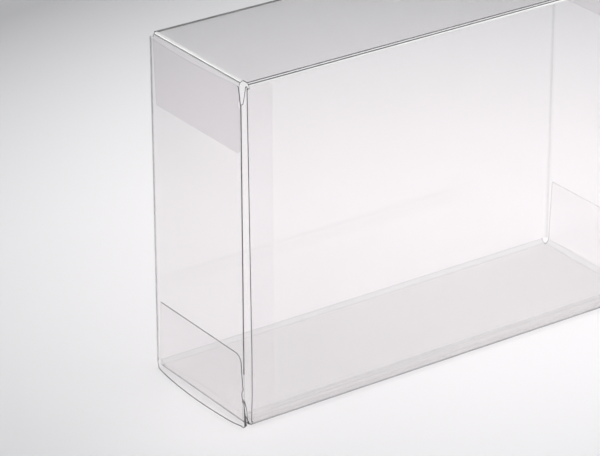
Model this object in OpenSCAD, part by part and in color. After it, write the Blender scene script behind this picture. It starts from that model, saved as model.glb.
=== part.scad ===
// Clear folding box of creased film, closed and standing on one narrow long side.
// X runs along the box, the front panel faces -Y and both end lids hinge on the back panel.
// The origin is the middle of the base, and sizes are outside sizes in millimetres.

/* [Box] */
// Length of the closed box over both lids
box_l = 208; // [120:1:400]
// Depth from the front panel to the back panel
box_w = 68; // [50:1:150]
// Height of the front and back panels
box_h = 150; // [100:1:300]

/* [Film] */
// Thickness of the film
film_t = 0.3; // [0.2:0.05:0.5]
// Outer radius of every crease
fold_r = 2; // [1.2:0.1:3]

/* [Glue flap] */
// How far the glued flap reaches back from the front panel's face
glue_w = 11; // [6:0.5:20]
// How much shorter the flap is at each end of its free edge
glue_slant = 3; // [0:0.5:10]
// Distance from the end of the front crease to the base panel's cut edge
seam_gap = 0.3; // [0.1:0.1:1]

/* [Dust flaps] */
// Height of a dust flap, from the panel that it hangs on
dust_d = 30.7; // [16:0.1:45]
// Distance from a dust flap's front edge to the front panel's face
dust_front_gap = 4.3; // [4:0.1:12]
// Distance from a dust flap's back edge to the long crease beside it
dust_back_gap = 0.3; // [0.2:0.1:6]
// How far the back edge leans in at the free end
dust_taper = 1.4; // [0.2:0.1:8]
// Radius of the free front corner of the upper dust flaps
dust_top_corner = 2; // [0.5:0.1:10]
// Radius of the free front corner of the lower dust flaps
dust_low_corner = 5.5; // [0.5:0.1:10]
// Distance from the panel to the shallow nick in the front edge
nick_from = 8.4; // [4:0.1:12]
// Height of the nick
nick_h = 3; // [1:0.1:5]
// Depth of the nick
nick_d = 1; // [0.3:0.1:3]

/* [Lids] */
// Distance from a lid's long edges to the base and top planes
lid_edge_gap = 0.4; // [0.2:0.1:2]
// Distance from the ends of a hinge crease to the long creases
hinge_side_gap = 0.2; // [0.1:0.1:3]
// Radius of the lid's two free corners
lid_corner = 0.8; // [0.3:0.1:1.5]
// Distance from the box's end to the free edge of the tuck flap
tuck_d = 15.2; // [8:0.1:25]
// Distance from the tuck flap's short edges to the long creases
tuck_side_gap = 0.4; // [0.3:0.1:4]
// Radius of the tuck flap's free corners
tuck_corner = 3; // [0.5:0.1:8]
// Length of the lock slits, from the base and from the top
slit_d = 9; // [6:0.1:14]
// How far a slit leans into the lid at its open end
slit_lean = 0.9; // [0.2:0.1:3]
// Radius and setback of the tuck flap's shoulder beside a slit
shoulder_r = 1.75; // [0.8:0.05:4]

/* [Clearances] */
// Gap between a lid and the dust flaps behind it
lid_gap = 0.3; // [0.2:0.05:1]
// Gap between the tuck flap and the front panel
tuck_gap = 0.3; // [0.2:0.05:1]
// Room that the tuck flap's free edge keeps as it swings out
swing_gap = 0.1; // [0.05:0.05:1]
// Gap across the middle of a hinge crease, between the back panel and the lid
hinge_gap = 0.1; // [0.05:0.05:0.4]
// Distance from the front panel's free edges to the ends of the box
front_edge_in = 1.8; // [1:0.1:4]

/* [Hidden] */
$fn = 96;
half_l = box_l / 2;
half_w = box_w / 2;
// How far a cutter runs past what it cuts, and one stretch of film into the next
over = 1;
// Degrees that the two halves of a crease share at its middle
crease_share = 5;
// Distance from the box's ends to the outer face of the dust flaps
dust_in = film_t + lid_gap;
// Half the length of the folded tube between the creases of the dust flaps
tube_half = half_l - dust_in - fold_r;
// Lowest and highest level of the lids
lid_lo = lid_edge_gap;
lid_hi = box_h - lid_lo;
// Lowest and highest level of the hinge creases
hinge_lo = fold_r + hinge_side_gap;
hinge_hi = box_h - hinge_lo;
// Lowest level of the tuck flaps, above the front crease that ends on the base panel
tuck_lo = film_t + fold_r + tuck_side_gap;
// Half the angle that the hinge gap takes out of a hinge crease
hinge_cut = atan(hinge_gap / 2 / (fold_r - film_t / 2));
// Where the flat lid ends and the tuck crease begins
tuck_y = -half_w + film_t + tuck_gap + fold_r;
// The tuck flap leans in by what its free edge needs to swing out past the front panel
swing_r = box_w - film_t - tuck_gap;
tuck_in = swing_r - sqrt(swing_r * swing_r - tuck_d * tuck_d) + swing_gap;
tuck_lean = atan(tuck_in / (tuck_d - fold_r));
tuck_len = (tuck_d - fold_r - fold_r * sin(tuck_lean)) / cos(tuck_lean);

function ray(a) = 2 * fold_r * [cos(a), sin(a)];

// Film seen edge on: straight down to the X axis, then bent round the origin by an angle
module half_fold(angle, straight) {
    difference() {
        intersection() {
            union() {
                circle(r = fold_r);
                square([fold_r, straight]);
            }
            polygon([[0, 0], ray(-angle), ray(-angle / 2), ray(0), [ray(0).x, straight], [0, straight]]);
        }
        circle(r = fold_r - film_t);
        translate([-over, 0])
            square([fold_r - film_t + over, straight + over]);
    }
}

// Film seen edge on, with a straight stretch on each side of a crease
module fold(angle, before, after) {
    half = angle / 2 + crease_share;
    half_fold(half, before);
    rotate(-angle)
        mirror([0, 1])
            half_fold(half, after);
}

// What a rounded corner at the origin loses, where the film lies towards +X and +Y
module corner_waste(r) {
    difference() {
        translate([-over, -over])
            square(r + over);
        translate([r, r])
            circle(r = r);
    }
}

// Runs a shape drawn in Y and Z along X, from one place to another
module along_x(from, to) {
    translate([from, 0, 0])
        rotate([90, 0, 90])
            linear_extrude(height = to - from)
                children();
}

// Runs a shape drawn in X and Z along Y, from one place to another
module along_y(from, to) {
    translate([0, to, 0])
        rotate([90, 0, 0])
            linear_extrude(height = to - from)
                children();
}

// Repeats what it is given, turned over, at the other end of the height
module low_and_high() {
    children();
    translate([0, 0, box_h])
        mirror([0, 0, 1])
            children();
}

module left_and_right() {
    children();
    mirror([1, 0, 0])
        children();
}

module front_panel() {
    front_half = half_l - front_edge_in;
    translate([-front_half, -half_w, film_t + fold_r])
        cube([2 * front_half, film_t, box_h - film_t - 2 * fold_r]);
}

module top_panel() {
    translate([-tube_half, -half_w + fold_r, box_h - film_t])
        cube([2 * tube_half, box_w - 2 * fold_r, film_t]);
}

module back_panel() {
    back_half = half_l - fold_r;
    translate([-back_half, half_w - film_t, fold_r])
        cube([2 * back_half, film_t, box_h - 2 * fold_r]);
}

// The base panel's front edge is cut, and lies under the glue flap
module base_panel() {
    cut_y = -half_w + fold_r + seam_gap;
    translate([-tube_half, cut_y, 0])
        cube([2 * tube_half, half_w - fold_r - cut_y, film_t]);
}

module long_creases() {
    along_x(-tube_half, tube_half) {
        translate([half_w - fold_r, fold_r])
            fold(90, over, over);
        translate([half_w - fold_r, box_h - fold_r])
            rotate(90)
                fold(90, over, over);
        translate([-half_w + fold_r, box_h - fold_r])
            rotate(180)
                fold(90, over, over);
        translate([-half_w + fold_r, film_t + fold_r])
            rotate(270)
                fold(90, over, over);
    }
}

// Folded in from the front panel and glued on top of the base panel
module glue_flap() {
    root_y = -half_w + fold_r;
    edge_y = -half_w + glue_w;
    edge_half = tube_half - glue_slant;
    translate([0, 0, film_t])
        linear_extrude(height = film_t)
            polygon([
                [-tube_half, root_y], [tube_half, root_y], [tube_half, root_y + over],
                [edge_half, edge_y], [-edge_half, edge_y], [-tube_half, root_y + over]
            ]);
}

// Runs the edge view of one half of the left hinge crease up the height of that crease
module hinge_crease() {
    translate([-half_l + fold_r, half_w - fold_r, hinge_lo])
        linear_extrude(height = hinge_hi - hinge_lo)
            children();
}

// The left dust flap that stands on the base, with its crease
module dust_flap(corner) {
    front_y = -half_w + dust_front_gap;
    back_y = half_w - fold_r - dust_back_gap;
    intersection() {
        along_y(-half_w, half_w)
            translate([-half_l + dust_in + fold_r, fold_r])
                rotate(270)
                    fold(90, over, dust_d - fold_r);
        along_x(-half_l, -half_l + dust_in + fold_r + over)
            difference() {
                polygon([
                    [front_y, -over], [back_y, -over], [back_y, fold_r],
                    [back_y - dust_taper, dust_d], [front_y, dust_d]
                ]);
                translate([front_y, dust_d])
                    mirror([0, 1])
                        corner_waste(corner);
                translate([front_y - over, nick_from])
                    square([over + nick_d, nick_h]);
            }
    }
}

module dust_flaps() {
    left_and_right() {
        dust_flap(dust_low_corner);
        translate([0, 0, box_h])
            mirror([0, 0, 1])
                dust_flap(dust_top_corner);
    }
}

module sleeve() {
    color([0.85, 0.87, 0.88, 0.45]) {
        front_panel();
        top_panel();
        back_panel();
        base_panel();
        long_creases();
        glue_flap();
        left_and_right()
            hinge_crease()
                rotate(90)
                    mirror([0, 1])
                        half_fold(45 - hinge_cut, over);
        dust_flaps();
    }
}

// The left lid seen from above, with its tuck crease and tuck flap
module lid_section() {
    translate([-half_l + fold_r, tuck_y])
        mirror([1, 0])
            fold(90 + tuck_lean, half_w - fold_r - tuck_y, tuck_len);
}

// The lower lock slit parts the tuck flap's shoulder from the lid
module slit_waste() {
    shoulder_z = slit_d - shoulder_r;
    along_y(-half_w - over, tuck_y)
        translate([-half_l, shoulder_z]) {
            circle(r = shoulder_r);
            translate([-over, -shoulder_z])
                square([shoulder_r + over, shoulder_z]);
        }
    along_x(-half_l - over, -half_l + film_t)
        polygon([
            [tuck_y, slit_d], [tuck_y - over, slit_d],
            [tuck_y - over, lid_lo - over], [tuck_y + slit_lean, lid_lo - over], [tuck_y + slit_lean, lid_lo]
        ]);
}

// The lid's lower corners: rounded where its edge meets the slit, cut back at the hinge crease
module lid_corner_waste() {
    hinge_y = half_w - fold_r;
    relief = hinge_lo - lid_lo;
    along_x(-half_l - over, -half_l + film_t) {
        translate([tuck_y + slit_lean, lid_lo])
            corner_waste(lid_corner);
        polygon([
            [hinge_y, hinge_lo], [hinge_y - relief, lid_lo],
            [hinge_y - relief, lid_lo - over], [hinge_y + over, lid_lo - over], [hinge_y + over, hinge_lo]
        ]);
    }
}

// The tuck flap's lower short edge and its free corner
module tuck_waste() {
    along_y(-half_w - over, 0) {
        translate([-half_l + film_t, lid_lo - over])
            square([tuck_d, tuck_lo - lid_lo + over]);
        translate([-half_l + tuck_d, tuck_lo])
            mirror([1, 0])
                corner_waste(tuck_corner);
    }
}

module left_lid() {
    color([0.89, 0.9, 0.91, 0.4]) {
        difference() {
            translate([0, 0, lid_lo])
                linear_extrude(height = lid_hi - lid_lo)
                    lid_section();
            low_and_high() {
                slit_waste();
                lid_corner_waste();
                tuck_waste();
            }
        }
        hinge_crease()
            rotate(180)
                half_fold(45 - hinge_cut, over);
    }
}

module right_lid() {
    mirror([1, 0, 0])
        left_lid();
}

sleeve();
left_lid();
right_lid();
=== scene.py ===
"""Looks of the clear folding box: folded film, its creases and cut edges, floor, light and camera.

The film's flat cut shapes are drawn in millimetres, then folded and turned into metres.
"""

import math

import bmesh
import bpy
from mathutils import Matrix, Vector


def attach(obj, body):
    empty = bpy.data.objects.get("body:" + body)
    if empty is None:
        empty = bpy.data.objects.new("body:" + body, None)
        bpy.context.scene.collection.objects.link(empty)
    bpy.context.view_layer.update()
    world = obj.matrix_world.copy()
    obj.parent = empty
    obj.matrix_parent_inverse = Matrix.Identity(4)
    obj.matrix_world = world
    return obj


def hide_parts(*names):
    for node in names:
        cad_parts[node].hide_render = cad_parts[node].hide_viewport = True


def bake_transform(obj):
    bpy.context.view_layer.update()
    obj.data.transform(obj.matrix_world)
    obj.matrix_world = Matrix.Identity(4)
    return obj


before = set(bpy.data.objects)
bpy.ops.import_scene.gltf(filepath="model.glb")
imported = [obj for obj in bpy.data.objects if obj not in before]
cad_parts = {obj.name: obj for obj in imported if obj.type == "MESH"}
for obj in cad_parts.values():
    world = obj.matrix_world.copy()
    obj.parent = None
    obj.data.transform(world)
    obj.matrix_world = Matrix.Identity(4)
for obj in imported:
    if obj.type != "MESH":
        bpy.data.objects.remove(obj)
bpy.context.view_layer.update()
scene = bpy.context.scene

METRE = 0.001

# The closed box, in millimetres
BOX_L = 208.0
BOX_W = 68.0
BOX_H = 150.0
FILM = 0.3
FOLD_R = 2.0
HALF_L = BOX_L / 2
HALF_W = BOX_W / 2
MID_R = FOLD_R - FILM / 2
QUARTER = math.pi / 2
ARC = MID_R * QUARTER

# The front panel, and the glue flap on top of the base panel
FRONT_IN = 1.8
GLUE_W = 11.0
GLUE_SLANT = 3.0
GLUE_LIFT = 0.05
SEAM_GAP = 0.3

# The dust flaps
DUST_D = 30.7
DUST_FRONT = 4.3
DUST_BACK = 0.3
DUST_TAPER = 1.4
DUST_IN = 0.6
DUST_LOW_CORNER = 4.0
DUST_TOP_CORNER = 2.0
DUST_LOW_LEAN = 0.7
# Height and depth of each corner of the nicks in the dust flaps' front edges
LOW_NICK = ((9.5, -0.1), (10.8, 0.1), (13.1, 0.6), (14.6, 0.3), (15.7, -0.4), (17.5, 0.0))
TOP_NICK = ((8.4, 0.0), (8.4, 1.0), (11.4, 1.0), (11.4, 0.0))

# The lids, their lock slits and their tuck flaps
LID_LOW = 0.4
LID_HIGH = 1.8
HINGE_SIDE = 0.2
LID_CORNER = 0.8
SLIT_LOW = 11.5
SLIT_HIGH = 9.0
LOW_LEAN = 2.4
HIGH_LEAN = -1.0
TUCK_D = 15.2
TUCK_SIDE = 0.4
TUCK_CORNER = 3.0
TUCK_GAP = 0.3
SWING_GAP = 0.1
TUCK_ROOT = 0.2
# How far each point of a tuck flap's shoulder lies past the crease, and its distance from the lid's edge
LOW_SHOULDER = ((0.4, 11.2), (0.9, 9.9), (1.5, 8.0), (2.2, 4.6), (2.75, 1.6), (3.0, 1.9))
HIGH_SHOULDER = (
    (0.5, 8.9), (1.1, 8.5), (1.35, 7.4), (1.6, 5.7), (2.2, 1.5), (2.5, 0.9), (2.9, 1.4),
)

# How the slack film of the lids stands out
SPRUNG = 0.4
BOW = 0.8
LOW_REACH = 20
HIGH_REACH = 14
HIGH_SLACK = 0.35
ARCH_POWER = 1.4
LOW_ARCH_POWER = 0.6
HIGH_ARCH_POWER = 0.55
FLARE_ACROSS_POWER = 3
FLARE_DOWN_POWER = 1.2

# How finely the film is divided, and the width of the margin along its cut edges
MARGIN = 0.24
CREASE_STEP = 0.3
NEAR = 0.05
SAME_CUT = 5
ON_CUT = 1e-5
SAME_PLACE = 0.01
SLIVER = 0.005
UV_SPAN = 400

# The light that the film mirrors
SLANT_POWER = 5.0


def grey(level, blue=0.0):
    """A colour a little bluer or warmer than grey."""
    return (level - blue, level, level + blue, 1)


# The zones of the film, which are also the places of their materials on a piece. Along the creases
# the white zone is a painted highlight, soft a faint painted sheen, and dark, shaded, faint and dusky are
# painted shade
(
    CLEAR, SOFT, PAINTED_HIGHLIGHT, PAINTED_SHADE, SHADED, FAINT, DUSKY,
    EDGE, PALE_EDGE, SEAM, RIM, PALE_RIM, SEAM_RIM, GLUED, FLAP,
) = range(15)
SHEET = None
WARM = (0.93, 0.92, 0.90, 1)
FLAP_TINT = (0.965, 0.955, 0.960, 1)

# Each zone's name, tint (SHEET is the piece's own), shadow, haze and its colour, then how much it mirrors
# straight on, its roughness, its specks, how much it mirrors at a slant, and its streaks. On the crease
# and edge zones the haze and its colour are painted highlight and painted shade
ZONE_LOOKS = (
    ("clear", SHEET, grey(0.985), 0.012, grey(0.9), 0.04, 0.02, 0.04, 0.96, 0),
    ("soft", SHEET, grey(0.98), 0.03, grey(0.92), 0.05, 0.06, 0, 0.96, 0),
    ("white", SHEET, grey(0.92), 0.60, grey(1.0), 0.10, 0.16, 0, 0.96, 0),
    ("dark", grey(0.45), grey(0.85), 0.65, grey(0.07), 0.04, 0.16, 0, 0.3, 0),
    ("shaded", grey(0.70), grey(0.88), 0.36, grey(0.09), 0.04, 0.16, 0, 0.3, 0),
    ("faint", grey(0.92), grey(0.96), 0.12, grey(0.30), 0.01, 0.12, 0, 0.3, 0),
    ("dusky", grey(0.95), grey(0.96), 0.05, grey(0.50), 0.01, 0.12, 0, 0.3, 0),
    ("edge", grey(0.55), grey(0.90), 0.55, grey(0.09), 0.05, 0.10, 0, 0.4, 0),
    ("pale_edge", SHEET, grey(0.97), 0.04, grey(0.60), 0.05, 0.10, 0, 0.5, 0),
    ("seam", SHEET, grey(0.99), 0, grey(0.9), 0.02, 0.05, 0, 0.1, 0),
    ("rim", grey(0.34), grey(0.80), 0.80, grey(0.05), 0.04, 0.18, 0, 0.2, 0),
    ("pale_rim", grey(0.93), grey(0.95), 0.10, grey(0.50), 0.05, 0.18, 0, 0.3, 0),
    ("seam_rim", grey(0.99), grey(0.99), 0, grey(0.9), 0, 0.05, 0, 0.02, 0),
    ("glued", SHEET, grey(0.98), 0.05, WARM, 0.05, 0.06, 0.06, 0.96, 0.45),
    ("flap", FLAP_TINT, grey(0.985), 0.012, grey(0.9), 0.04, 0.02, 0.04, 0.96, 0),
)
# Zones that give way to a cut edge's margin, and the materials of the film's cut faces
UNDER_MARGIN = (None, GLUED, SEAM, FLAP)
RIMS = (RIM, PALE_RIM, SEAM_RIM)


class Nodes:
    """Short names for building a material's nodes."""

    def __init__(self, name):
        self.mat = bpy.data.materials.new(name)
        self.mat.use_nodes = True
        self.tree = self.mat.node_tree
        self.tree.nodes.clear()

    def add(self, kind, inputs=None, **settings):
        node = self.tree.nodes.new(kind)
        for key, value in settings.items():
            setattr(node, key, value)
        for key, value in (inputs or {}).items():
            if isinstance(value, bpy.types.NodeSocket):
                self.tree.links.new(value, node.inputs[key])
            else:
                node.inputs[key].default_value = value
        return node

    def math(self, operation, a, b=0.0, c=0.0):
        return self.add("ShaderNodeMath", {0: a, 1: b, 2: c}, operation=operation).outputs[0]

    def noise(self, place, scale, detail, roughness=0.5):
        inputs = {"Vector": place, "Scale": scale, "Detail": detail, "Roughness": roughness}
        return self.add("ShaderNodeTexNoise", inputs).outputs[0]

    def mix(self, factor, a, b):
        return self.add("ShaderNodeMixShader", {0: factor, 1: a, 2: b}).outputs[0]

    def output(self, shader):
        self.add("ShaderNodeOutputMaterial", {"Surface": shader})
        return self.mat


def mirrored_share(n, straight, slant):
    """How much of the light one face of the film mirrors, more at a slant."""
    facing = n.add("ShaderNodeLayerWeight", {"Blend": 0.5}).outputs["Facing"]
    return n.math("MULTIPLY_ADD", n.math("POWER", facing, SLANT_POWER), slant - straight, straight)


def glue_streaks(n, uv, amount):
    """Fine cloudy lines that run along the glued seam."""
    stretched = n.add("ShaderNodeMapping", {"Vector": uv, "Scale": (2.5, 330.0, 1.0)}).outputs[0]
    lines = n.noise(stretched, 1.0, 3.0, 0.6)
    return n.math("MULTIPLY", n.math("POWER", lines, 3.0), amount)


def film_material(name, tint, shadow, haze, haze_and_painted_colour, straight, roughness, specks, slant, streaks):
    """Clear film: it lets light straight through, mirrors a little and scatters a trace; in the crease and
    edge zones the scattered haze is painted highlight and painted shade.
    """
    n = Nodes(name)
    uv = n.add("ShaderNodeTexCoord").outputs["UV"]
    smears = n.noise(uv, 9.0, 4.0, 0.6)
    dust = n.noise(uv, 420.0, 2.0)
    waves = n.noise(uv, 5.0, 1.0)
    bump = n.add("ShaderNodeBump", {"Strength": 0.05, "Distance": 0.004, "Height": waves})
    clear = n.add("ShaderNodeBsdfTransparent", {"Color": tint}).outputs[0]
    # Real haze on plain film; on creases and cut edges this diffuse colour is painted highlight and
    # painted shade
    haze_and_painted_light = n.add("ShaderNodeBsdfDiffuse", {"Color": haze_and_painted_colour}).outputs[0]
    blur = n.math("MULTIPLY_ADD", smears, 0.06, roughness)
    gloss = {"Color": grey(0.97), "Roughness": blur, "Normal": bump.outputs[0]}
    mirror = n.add("ShaderNodeBsdfGlossy", gloss).outputs[0]
    specks_seen = n.math("MULTIPLY", n.math("GREATER_THAN", dust, 0.72), specks)
    cloud = n.math("ADD", n.math("MULTIPLY_ADD", smears, haze, haze / 2), specks_seen)
    if streaks:
        cloud = n.math("ADD", cloud, glue_streaks(n, uv, streaks))
    body = n.mix(cloud, clear, haze_and_painted_light)
    seen = n.mix(mirrored_share(n, straight, slant), body, mirror)
    light_path = n.add("ShaderNodeLightPath").outputs
    lit_through = n.math("MAXIMUM", light_path["Is Shadow Ray"], light_path["Is Diffuse Ray"])
    shade = n.add("ShaderNodeBsdfTransparent", {"Color": shadow}).outputs[0]
    return n.output(n.mix(lit_through, seen, shade))


def film_set(name, tint):
    """The materials of one piece of film, in the order of the zones."""
    return [
        film_material(f"{name}_{zone}", own_tint or tint, *rest)
        for zone, own_tint, *rest in ZONE_LOOKS
    ]


def walk(path, s):
    """Place and heading after a length s of a path of (length, turn) stretches."""
    x = 0.0
    y = 0.0
    heading = 0.0
    for length, turn in path:
        step = min(s, length) if s > 0 else s
        if turn and step > 0:
            r = length / turn
            after = heading + step / r
            x += r * (math.sin(after) - math.sin(heading))
            y += r * (math.cos(heading) - math.cos(after))
            heading = after
        else:
            x += step * math.cos(heading)
            y += step * math.sin(heading)
        s -= length
        if s <= 0:
            return x, y, heading
    return x + s * math.cos(heading), y + s * math.sin(heading), heading


def lengths_to_ends(path):
    """How far along a path each of its stretches begins, and the last one ends."""
    ends = [0.0]
    for length, _ in path:
        ends.append(ends[-1] + length)
    return ends


def arc(cx, cy, r, start, end, steps=10):
    """Points on an arc, in degrees, for a rounded corner of a cut shape."""
    angles = [math.radians(start + (end - start) * k / steps) for k in range(steps + 1)]
    return [(cx + r * math.cos(a), cy + r * math.sin(a)) for a in angles]


def spread(low, high, count):
    """Evenly spaced values from low to high."""
    return [low + (high - low) * k / count for k in range(count + 1)]


def crease_bands(length, *parts):
    """A crease's (width, zone) bands from its start, where a width left as None takes the rest."""
    rest = length - sum(width for width, _ in parts if width is not None)
    open_parts = sum(width is None for width, _ in parts)
    return [(rest / open_parts if width is None else width, zone) for width, zone in parts]


def crease_cuts(low, bands):
    """Where the film is divided so that a crease bends smoothly and its bands have clean sides."""
    cuts = [low]
    for width, _ in bands:
        steps = max(1, round(width / CREASE_STEP))
        cuts += spread(cuts[-1], cuts[-1] + width, steps)[1:]
    return cuts


def crease_zone(value, low, bands):
    """The zone of a place across a crease, or None where it lies outside."""
    for width, zone in bands:
        if low < value < low + width:
            return zone
        low += width
    return None


def divided_sheet(outline, cuts_u, cuts_v):
    """The flat outline with a narrow margin, divided at the cuts, and the mark of the margin's faces."""
    bm = bmesh.new()
    in_margin = bm.faces.layers.int.new("edge")
    flat = bm.faces.new([bm.verts.new((u, v, 0)) for u, v in outline])
    flat.normal_update()
    margin = bmesh.ops.inset_region(
        bm, faces=[flat], thickness=MARGIN, use_boundary=True, use_even_offset=True
    )["faces"]
    for f in margin:
        f[in_margin] = 1
    for across, cuts in ((Vector((1, 0, 0)), cuts_u), (Vector((0, 1, 0)), cuts_v)):
        for cut in sorted(set(round(c, SAME_CUT) for c in cuts)):
            parts = bm.verts[:] + bm.edges[:] + bm.faces[:]
            bmesh.ops.bisect_plane(bm, geom=parts, dist=ON_CUT, plane_co=across * cut, plane_no=across)
    bmesh.ops.remove_doubles(bm, verts=bm.verts[:], dist=SAME_PLACE)
    bmesh.ops.dissolve_degenerate(bm, edges=bm.edges[:], dist=SLIVER)
    bmesh.ops.connect_verts_concave(bm, faces=[f for f in bm.faces if len(f.verts) > 4])
    bm.verts.index_update()
    return bm, in_margin


def folded_film(name, outline, cuts_u, cuts_v, place, zone, edge_zones, materials):
    """A closed sheet of film: the flat outline is divided, given two faces and folded by place."""
    bm, in_margin = divided_sheet(outline, cuts_u, cuts_v)
    flat_uv = [(v.co.x, v.co.y) for v in bm.verts]
    total = len(flat_uv)
    corners = []
    for side in (FILM / 2, -FILM / 2):
        corners += [place(u, v, side) for u, v in flat_uv]
    faces = []
    zones = []
    for f in bm.faces:
        ids = [v.index for v in f.verts]
        mid = f.calc_center_median()
        found = zone(mid.x, mid.y)
        margin_zone, _ = edge_zones(mid.x, mid.y)
        if f[in_margin] and (found in UNDER_MARGIN or margin_zone == SEAM):
            found = margin_zone
        faces += [ids, [total + i for i in reversed(ids)]]
        zones += [CLEAR if found is None else found] * 2
    for e in bm.edges:
        if len(e.link_loops) == 1:
            loop = e.link_loops[0]
            a = loop.vert.index
            b = loop.link_loop_next.vert.index
            faces.append([b, a, total + a, total + b])
            mid = (e.verts[0].co + e.verts[1].co) / 2
            zones.append(edge_zones(mid.x, mid.y)[1])
    bm.free()

    mesh = bpy.data.meshes.new(name)
    mesh.from_pydata([tuple(c * METRE for c in p) for p in corners], [], faces)
    for m in materials:
        mesh.materials.append(m)
    mesh.polygons.foreach_set("material_index", zones)
    mesh.polygons.foreach_set("use_smooth", [True] * len(faces))
    uv = mesh.uv_layers.new(name="cut_shape")
    for loop in mesh.loops:
        u, v = flat_uv[loop.vertex_index % total]
        uv.data[loop.index].uv = (u / UV_SPAN + 0.5, v / UV_SPAN + 0.01)
    closed = bmesh.new()
    closed.from_mesh(mesh)
    bmesh.ops.recalc_face_normals(closed, faces=closed.faces)
    for e in closed.edges:
        e.smooth = not any(f.material_index in RIMS for f in e.link_faces)
    closed.to_mesh(mesh)
    closed.free()
    piece = bpy.data.objects.new(name, mesh)
    scene.collection.objects.link(piece)
    return piece


# The sleeve is a tube folded from one sheet, wound from the base panel's cut edge round to the glue flap.
# On its cut shape u runs along the box from its middle, and v along the winding.
TUBE_HALF = HALF_L - DUST_IN - FOLD_R
PANEL_HALF = HALF_L - FOLD_R
FRONT_HALF = HALF_L - FRONT_IN
BASE_LEN = BOX_W - 2 * FOLD_R - SEAM_GAP
BACK_LEN = BOX_H - 2 * FOLD_R
TOP_LEN = BOX_W - 2 * FOLD_R
FRONT_LEN = BOX_H - 2 * FOLD_R - FILM - GLUE_LIFT
GLUE_LEN = GLUE_W - FOLD_R
TUBE = [
    (BASE_LEN, 0), (ARC, QUARTER), (BACK_LEN, 0), (ARC, QUARTER),
    (TOP_LEN, 0), (ARC, QUARTER), (FRONT_LEN, 0), (ARC, QUARTER), (GLUE_LEN, 0),
]
V = lengths_to_ends(TUBE)
BASE_Y = -HALF_W + FOLD_R + SEAM_GAP
GLUED_FROM = V[8] + 2.5
DUST_PATH = [(TUBE_HALF, 0), (ARC, QUARTER), (DUST_D - FOLD_R, 0)]
DUST_ROOT = TUBE_HALF + ARC
DUST_END = DUST_ROOT + DUST_D - FOLD_R
LOW_FRONT = -HALF_W + DUST_FRONT - BASE_Y
LOW_BACK = HALF_W - FOLD_R - DUST_BACK - BASE_Y
TOP_FRONT = V[4] + HALF_W - FOLD_R + HALF_W - DUST_FRONT
TOP_BACK = V[4] + DUST_BACK
# The front panel's free end, from its top to its foot, leans by a millimetre
FRONT_END = [
    (FRONT_HALF + 0.3, V[6]), (FRONT_HALF - 0.7, V[7] - 30),
    (FRONT_HALF - 0.6, V[7] - 12), (FRONT_HALF - 0.2, V[7]),
]


def on_dust_panel(v):
    return v < V[1] or V[4] < v < V[5]


def place_sleeve(u, v, w):
    """Where a place on the sleeve's cut shape is once folded; w is the height above its middle."""
    y, z, turn = walk(TUBE, v)
    y += BASE_Y
    z += FILM / 2
    on_flap = abs(u) > TUBE_HALF and on_dust_panel(v)
    x, inward, lean = walk(DUST_PATH, abs(u)) if on_flap else (abs(u), 0, 0)
    x += w * math.sin(lean)
    inward -= w * math.cos(lean)
    return math.copysign(x, u), y - inward * math.sin(turn), z + inward * math.cos(turn)


def dust_outline(front, back, corner, tip_in, nick):
    """The cut shape of a dust flap, from its front edge at v = front to its back edge at v = back."""
    away = 1 if back > front else -1
    tip_front = front + away * tip_in
    points = [(TUBE_HALF, front)]
    points += [(DUST_ROOT - FOLD_R + up, front + away * inward) for up, inward in nick]
    points += arc(DUST_END - corner, tip_front + away * corner, corner, -away * 90, 0)
    points += [(DUST_END, back - away * DUST_TAPER), (DUST_ROOT, back), (TUBE_HALF, back)]
    return points


def sleeve_outline():
    """The sleeve's cut shape, up one end and down the other."""
    low_dust = dust_outline(LOW_FRONT, LOW_BACK, DUST_LOW_CORNER, DUST_LOW_LEAN, LOW_NICK)
    top_dust = dust_outline(TOP_FRONT, TOP_BACK, DUST_TOP_CORNER, 0.0, TOP_NICK)
    back_end = [(PANEL_HALF, V[2] + HINGE_SIDE), (PANEL_HALF, V[3] - HINGE_SIDE)]
    right_end = [(TUBE_HALF, V[0])] + low_dust
    right_end += [(TUBE_HALF, V[2])] + back_end + [(TUBE_HALF, V[3])]
    right_end += list(reversed(top_dust))
    right_end += [(TUBE_HALF, V[6])] + FRONT_END + [(TUBE_HALF, V[7])]
    right_end += [(TUBE_HALF, V[8] + 1), (TUBE_HALF - GLUE_SLANT, V[9])]
    return right_end + [(-u, v) for u, v in reversed(right_end)]


# Across each crease of the tube: base to back, back to top, top to front, front to glue flap. Each crease
# is banded with painted highlight and painted shade, and the left end's low crease is painted darker than
# the right end's
TUBE_CREASES = {
    1: crease_bands(ARC, (0.25, FAINT), (None, DUSKY), (0.25, FAINT)),
    3: crease_bands(ARC, (0.6, SOFT), (None, SHADED)),
    5: crease_bands(ARC, (0.1, SOFT), (0.45, PAINTED_SHADE), (0.6, SOFT), (0.5, PAINTED_SHADE), (0.75, PAINTED_HIGHLIGHT), (None, SOFT)),
    7: crease_bands(ARC, (0.9, SOFT), (1.6, SHADED), (None, SOFT)),
}
TOP_DUST_CREASE = crease_bands(ARC, (1.3, PAINTED_HIGHLIGHT), (0.26, PAINTED_SHADE), (0.35, PAINTED_HIGHLIGHT), (None, SOFT))
LEFT_LOW_CREASE = crease_bands(ARC, (0.45, SOFT), (1.8, SHADED), (None, SOFT))
RIGHT_LOW_CREASE = crease_bands(ARC, (0.25, FAINT), (None, DUSKY), (0.25, FAINT))
BESIDE_EDGE = 0.5
BACK_EDGE_REACH = 2.5


def sleeve_zone(u, v):
    """The zone of a place on the sleeve's cut shape, or None for plain film."""
    for k, across in TUBE_CREASES.items():
        found = crease_zone(v, V[k], across)
        if found is not None:
            return found
    if on_dust_panel(v) and abs(u) > DUST_ROOT:
        return FLAP if v > V[1] else None
    if on_dust_panel(v) and abs(u) > TUBE_HALF:
        low_crease = LEFT_LOW_CREASE if u < 0 else RIGHT_LOW_CREASE
        return crease_zone(abs(u), TUBE_HALF, low_crease if v < V[1] else TOP_DUST_CREASE)
    return GLUED if v > GLUED_FROM else None


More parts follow.
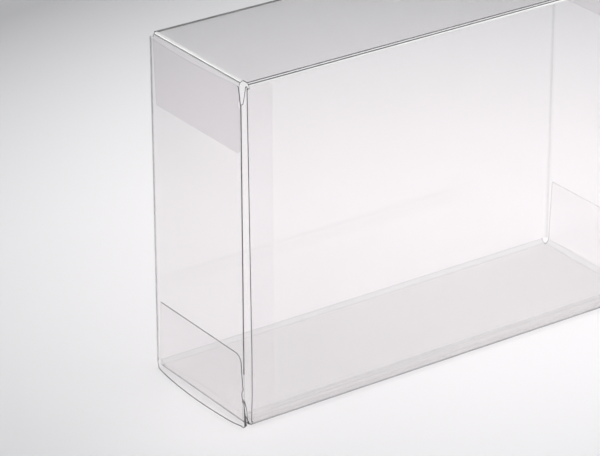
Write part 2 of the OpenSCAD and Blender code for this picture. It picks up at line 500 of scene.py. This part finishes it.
def sleeve_edges(u, v):
    """The zones of the margin and the rim of the sleeve's cut edges: dark lines, partly the cut film and
    partly painted shade, with pale copies where the edges catch the light.
    """
    if V[2] < v < V[3] and abs(u) > PANEL_HALF - BESIDE_EDGE:
        return SEAM, SEAM_RIM
    inside = v < BESIDE_EDGE or v > V[9] - BESIDE_EDGE
    upper_flap = V[3] < v < V[6] and abs(u) > DUST_ROOT
    back_edge = u < -TUBE_HALF and LOW_BACK - BACK_EDGE_REACH < v < V[1]
    if inside or upper_flap or back_edge:
        return PALE_EDGE, PALE_RIM
    nick_foot = FOLD_R - DUST_ROOT - LOW_NICK[0][0]
    under_nick = abs(v - LOW_FRONT) < BESIDE_EDGE and -DUST_ROOT > u > nick_foot
    return (FAINT, PALE_RIM) if u > DUST_ROOT or under_nick else (EDGE, RIM)


end_cuts = []
for across in (TOP_DUST_CREASE, LEFT_LOW_CREASE, RIGHT_LOW_CREASE):
    end_cuts += crease_cuts(TUBE_HALF, across)
sleeve_u = end_cuts + [-c for c in end_cuts] + spread(-96, 96, 16)
sleeve_v = [GLUED_FROM]
for k, across in TUBE_CREASES.items():
    sleeve_v += crease_cuts(V[k], across)
for k in (0, 2, 4, 6):
    sleeve_v += spread(V[k], V[k + 1], 8)[1:-1]
sleeve = folded_film(
    "sleeve_film", sleeve_outline(), sleeve_u, sleeve_v,
    place_sleeve, sleeve_zone, sleeve_edges, film_set("film", (0.9875, 0.9825, 0.9845, 1)),
)
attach(sleeve, "sleeve")
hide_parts("sleeve")

# Each lid hangs on an upright crease of the back panel and ends in a tuck flap.
# On its cut shape s runs from the hinge crease to the tuck flap's free edge, and z up the box.
SWING_R = BOX_W - FILM - TUCK_GAP
TUCK_IN = SWING_R - math.sqrt(SWING_R ** 2 - TUCK_D ** 2) + SWING_GAP
TUCK_LEAN = math.atan(TUCK_IN / (TUCK_D - FOLD_R))
TUCK_LEN = (TUCK_D - FOLD_R - FOLD_R * math.sin(TUCK_LEAN)) / math.cos(TUCK_LEAN)
TUCK_Y = -HALF_W + FILM + TUCK_GAP + FOLD_R
TUCK_LOW = FILM + FOLD_R + TUCK_SIDE
TUCK_TURN = QUARTER + TUCK_LEAN
TUCK_ARC = MID_R * TUCK_TURN
LID_LEN = HALF_W - FOLD_R - TUCK_Y
LID_PATH = [(ARC, QUARTER), (LID_LEN, 0), (TUCK_ARC, TUCK_TURN), (TUCK_LEN, 0)]
S = lengths_to_ends(LID_PATH)
# Painted shade along the lid creases: the left hinge is painted darker than the right, and the tuck
# crease's dark line fades low down
LEFT_HINGE = crease_bands(ARC, (0.55, SOFT), (0.45, FAINT), (0.9, SHADED), (0.45, FAINT), (None, SOFT))
RIGHT_HINGE = crease_bands(ARC, (None, SOFT), (0.9, DUSKY), (None, SOFT))
TUCK_CREASE = crease_bands(TUCK_ARC, (0.42, PAINTED_SHADE), (None, SEAM))
CREASE_FADES = 23.5
TOP_EDGE_REACH = 3
BESIDE_TUCK = 2
LOW_ROWS = 12


def lid_bow(s, z, slack, flare):
    """How far the slack film stands out from the box's end plane, most along its lower edge."""
    across = min(max((s - S[1]) / LID_LEN, 0), 1)
    low = math.exp(-z / LOW_REACH)
    sprung = SPRUNG * min(s / S[1], 1) * (1 - across ** 2)
    power = ARCH_POWER + (LOW_ARCH_POWER - ARCH_POWER) * low
    arch = max(math.sin(math.pi * across), 0) ** power
    high_arch = math.sin(math.pi * across ** HIGH_ARCH_POWER) * math.exp((z - BOX_H) / HIGH_REACH)
    down = max(0, 1 - z / SLIT_LOW)
    free_corner = across ** FLARE_ACROSS_POWER * down ** FLARE_DOWN_POWER
    return sprung + (BOW + slack * low) * arch + slack * HIGH_SLACK * high_arch + flare * free_corner


def slit_edge(z):
    """Where the lid's edge at the lower lock slit lies across the cut shape."""
    return S[2] + LOW_LEAN * (SLIT_LOW - z) / (SLIT_LOW - LID_LOW)


def lid_placer(side, slack, flare):
    """Folds the lid of one side, -1 for the left and 1 for the right."""
    def place(s, z, w):
        flat_corner = s > S[2] and z < SLIT_LOW and s < slit_edge(z) + NEAR
        x, y, heading = walk(LID_PATH, min(s, S[2]) if flat_corner else s)
        if flat_corner:
            y += s - S[2]
        x += w * math.sin(heading)
        y -= w * math.cos(heading)
        out = x + HALF_L - FOLD_R + (lid_bow(s, z, slack, flare) if s > 0 else 0)
        return side * out, HALF_W - FILM / 2 - y, z
    return place


def half_lid_outline(edge, lean, slit, shoulder):
    """Half of a lid's cut shape, from its hinge crease along one edge to the tuck flap's free edge."""
    hinge_end = FOLD_R + HINGE_SIDE
    foot = S[2] + lean
    points = [(0, hinge_end), (S[1], hinge_end), (S[1] + hinge_end - edge, edge)]
    points += arc(foot - LID_CORNER, edge + LID_CORNER, LID_CORNER, -90, 0, 5)
    points += [(S[2], slit)]
    points += [(S[2] + past, z) for past, z in shoulder]
    points += [(S[3] + TUCK_ROOT, TUCK_LOW)]
    points += arc(S[4] - TUCK_CORNER, TUCK_LOW + TUCK_CORNER, TUCK_CORNER, -90, 0)
    return points


def lid_zones(hinge):
    def zone(s, z):
        """The zone of a place on a lid's cut shape, or None for plain film; below CREASE_FADES the tuck
        crease's painted dark line is painted fainter.
        """
        found = crease_zone(s, S[0], hinge)
        if found is not None or (z < SLIT_LOW and s < slit_edge(z)):
            return found
        found = crease_zone(s, S[2], TUCK_CREASE)
        return FAINT if found == PAINTED_SHADE and z < CREASE_FADES else found
    return zone


def lid_edges(side):
    def edge_zones(s, z):
        """The zones of the margin and the rim of a lid's cut edges: dark lines, partly the cut film and
        partly painted shade, with pale copies on the top edge and the right lid, where they catch the
        light.
        """
        if s < BESIDE_EDGE or s > S[3] + BESIDE_EDGE:
            return SEAM, SEAM_RIM
        if s < S[2] - BESIDE_TUCK and (z > BOX_H - TOP_EDGE_REACH or side > 0):
            return PALE_EDGE, PALE_RIM
        return EDGE, RIM
    return edge_zones


upper_half = half_lid_outline(LID_HIGH, HIGH_LEAN, SLIT_HIGH, HIGH_SHOULDER)
lid_outline = half_lid_outline(LID_LOW, LOW_LEAN, SLIT_LOW, LOW_SHOULDER)
lid_outline += [(s, BOX_H - z) for s, z in reversed(upper_half)]
lid_s = spread(S[1], S[2], 16) + crease_cuts(S[2], TUCK_CREASE)
for hinge in (LEFT_HINGE, RIGHT_HINGE):
    lid_s += crease_cuts(S[0], hinge)
lid_z = spread(0, LOW_ROWS, 8) + spread(LOW_ROWS, BOX_H, 24)
lid_film = film_set("lid_film", (0.996, 0.991, 0.993, 1))
for side, lid, hinge, slack, flare in (
    (-1, "left_lid", LEFT_HINGE, 2.5, 1.5),
    (1, "right_lid", RIGHT_HINGE, 1.2, 0.8),
):
    piece = folded_film(
        lid + "_film", lid_outline, lid_s, lid_z,
        lid_placer(side, slack, flare), lid_zones(hinge), lid_edges(side), lid_film,
    )
    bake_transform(piece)
    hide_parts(lid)

# The floor's colour holds a painted pool of light: it fades from white to grey away from a bright oval
# place, with a small painted glow of reflected light at the box's left end
BRIGHT_PLACE = {
    "Location": (0.0627, 0.0626, 0.0), "Rotation": (0, 0, -2.4488), "Scale": (0.4003, 0.3413, 1.0),
}
GLOW_PLACE = {"Location": (-0.112, -0.018, 0.0), "Scale": (0.038, 0.038, 1.0)}
FADE_POWER = 2.04
FADE = -0.6
BRIGHTEST = 0.98
DIMMEST = 0.42
GLOW = 0.08
FLOOR_COLOURS = (
    (0.4, (0.400, 0.400, 0.415, 1)), (0.72, (0.720, 0.720, 0.734, 1)), (1.0, (1.0, 0.974, 0.988, 1)),
)
FLOOR_GLOSS = 0.04
FLOOR_REACH = 4.0
FLOOR_LEVEL = -0.0004


def distance_from(n, point, oval):
    """Distance of a place from the middle of an oval, in units of the oval's half widths."""
    inside = n.add("ShaderNodeMapping", {"Vector": point, **oval}, vector_type="TEXTURE").outputs[0]
    return n.add("ShaderNodeVectorMath", {0: inside}, operation="LENGTH").outputs["Value"]


def floor_material():
    n = Nodes("floor")
    point = n.add("ShaderNodeTexCoord").outputs["Object"]
    distance = distance_from(n, point, BRIGHT_PLACE)
    fall = n.math("MULTIPLY_ADD", n.math("POWER", distance, FADE_POWER), FADE, BRIGHTEST)
    # The painted glow of reflected light near the box's left end, added to the floor's colour
    near = distance_from(n, point, GLOW_PLACE)
    glow = n.math("EXPONENT", n.math("MULTIPLY", n.math("POWER", near, 2.0), -1.0))
    level = n.math("MULTIPLY_ADD", glow, GLOW, n.math("MAXIMUM", fall, DIMMEST))
    ramp = n.add("ShaderNodeValToRGB", {"Fac": level})
    stops = ramp.color_ramp.elements
    stops.new(FLOOR_COLOURS[1][0])
    for stop, (position, colour) in zip(stops, FLOOR_COLOURS):
        stop.position = position
        stop.color = colour
    blur = n.math("MULTIPLY_ADD", n.noise(point, 60.0, 4.0), 0.04, 0.22)
    matt = n.add("ShaderNodeBsdfDiffuse", {"Color": ramp.outputs["Color"]}).outputs[0]
    gloss = n.add("ShaderNodeBsdfGlossy", {"Color": grey(0.95), "Roughness": blur}).outputs[0]
    return n.output(n.mix(FLOOR_GLOSS, matt, gloss))


bm = bmesh.new()
bmesh.ops.create_grid(bm, x_segments=12, y_segments=12, size=FLOOR_REACH)
floor_mesh = bpy.data.meshes.new("floor")
bm.to_mesh(floor_mesh)
bm.free()
floor_mesh.materials.append(floor_material())
floor = bpy.data.objects.new("floor", floor_mesh)
floor.location = (0, 0, FLOOR_LEVEL)
scene.collection.objects.link(floor)

# Plain surroundings: pale just above the floor's horizon and dim higher up
SKY_FADE = {"From Min": 0.06, "From Max": 0.34, "To Min": 0.6, "To Max": 0.13}
world = bpy.data.worlds.new("studio")
world.use_nodes = True
tree = world.node_tree
sky = tree.nodes["Background"]
towards = tree.nodes.new("ShaderNodeTexCoord").outputs["Generated"]
height = tree.nodes.new("ShaderNodeSeparateXYZ")
tree.links.new(towards, height.inputs[0])
fade = tree.nodes.new("ShaderNodeMapRange")
fade.interpolation_type = "SMOOTHSTEP"
tree.links.new(height.outputs["Z"], fade.inputs["Value"])
for key, value in SKY_FADE.items():
    fade.inputs[key].default_value = value
tree.links.new(fade.outputs["Result"], sky.inputs["Strength"])
sky.inputs["Color"].default_value = grey(1.0)
scene.world = world

# Lamps: name, place, aim, side of the square in metres, power in watts
LAMPS = (
    ("key", (1.0, -0.1, 1.7), (0, 0, 0.05), 3.0, 57),
    ("side", (1.36, -0.92, 1.3), (0, 0, 0.05), 0.15, 11),
    ("back", (-0.45, 1.2, 1.05), (0, 0, 0.1), 0.28, 2.2),
)
for name, spot, aim, size, power in LAMPS:
    light = bpy.data.lights.new(name, "AREA")
    light.shape = "RECTANGLE"
    light.size = size
    light.size_y = size
    light.energy = power
    holder = bpy.data.objects.new(name, light)
    holder.location = spot
    holder.rotation_euler = (Vector(aim) - Vector(spot)).to_track_quat("-Z", "Y").to_euler()
    scene.collection.objects.link(holder)

# The camera stands at the photograph's viewing angle
eye = Vector((-0.77577, -1.03747, 0.66124))
ahead = Vector((0.51599, 0.74197, -0.42806)).normalized()
right = Vector((0.82008, -0.57224, -0.00333))
right = (right - ahead * right.dot(ahead)).normalized()
up = right.cross(ahead)
lens = bpy.data.cameras.new("camera")
lens.sensor_width = 36
lens.lens = 204.88
lens.clip_start = 0.05
camera = bpy.data.objects.new("camera", lens)
camera.matrix_world = Matrix.Translation(eye) @ Matrix((right, up, -ahead)).transposed().to_4x4()
scene.collection.objects.link(camera)
scene.camera = camera

scene.view_settings.view_transform = "Standard"
scene.cycles.transparent_max_bounces = 64

bpy.context.view_layer.update()
